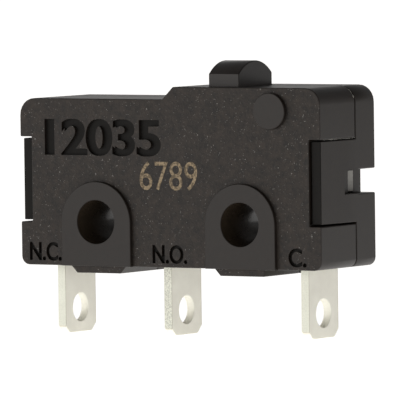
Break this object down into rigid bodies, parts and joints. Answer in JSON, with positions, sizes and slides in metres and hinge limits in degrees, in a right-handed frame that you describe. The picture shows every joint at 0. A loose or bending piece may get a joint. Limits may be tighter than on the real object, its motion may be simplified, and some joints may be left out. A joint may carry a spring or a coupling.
{
  "type": "pin plunger micro switch",
  "caption": "Subminiature snap-action switch with a pin plunger, solder terminals, a two-shell housing and a coil-spring contact mechanism.",
  "frame": {"origin": "midway between the two mounting holes, in the middle of the housing's depth", "axes": "+X along the housing towards the common terminal, +Y from the front to the back along the mounting holes, +Z towards the plunger"},
  "size_m": [0.0198, 0.0064, 0.0156],
  "materials": {
    "housing": "black glass-filled thermoplastic with a spark-eroded grain on its broad faces",
    "plunger": "black moulded thermoplastic, smooth",
    "terminal": "matte tin plate on stamped brass",
    "contact": "silver contact rivet",
    "blade": "stamped copper alloy",
    "spring": "drawn spring wire"
  },
  "bodies": {
    "housing": {"front_case": "housing", "back_cover": "housing", "common_terminal": "terminal", "no_terminal": "terminal", "nc_terminal": "terminal", "no_contact": "contact", "nc_contact": "contact"},
    "plunger": {"plunger": "plunger"},
    "lever": {"plunger_lever": "blade"},
    "arm": {"contact_arm": "blade", "moving_contact": "contact", "snap_spring": "spring"}
  },
  "joints": [
    {"name": "plunger_slide", "type": "slide", "parent": "housing", "child": "plunger", "axis": [0, 0, -1], "range_m": [0, 0.0008], "stiffness_N_per_m": 120, "springref_m": -0.0004},
    {"name": "lever_hinge", "type": "hinge", "parent": "housing", "child": "lever", "pos_m": [0.00775, 0, 0.00526], "axis": [0, -1, 0], "range_deg": [0, 9.7]},
    {"name": "arm_hinge", "type": "hinge", "parent": "housing", "child": "arm", "pos_m": [0.00785, 0, 0.0037], "axis": [0, -1, 0], "range_deg": [0, 1.95], "deforming": ["snap_spring"]}
  ],
  "couplings": [
    {"joint": "lever_hinge", "follows": "plunger_slide", "rad_per_m": 210.53},
    {"joint": "arm_hinge", "follows": "plunger_slide", "rad_per_m": 41.45}
  ]
}
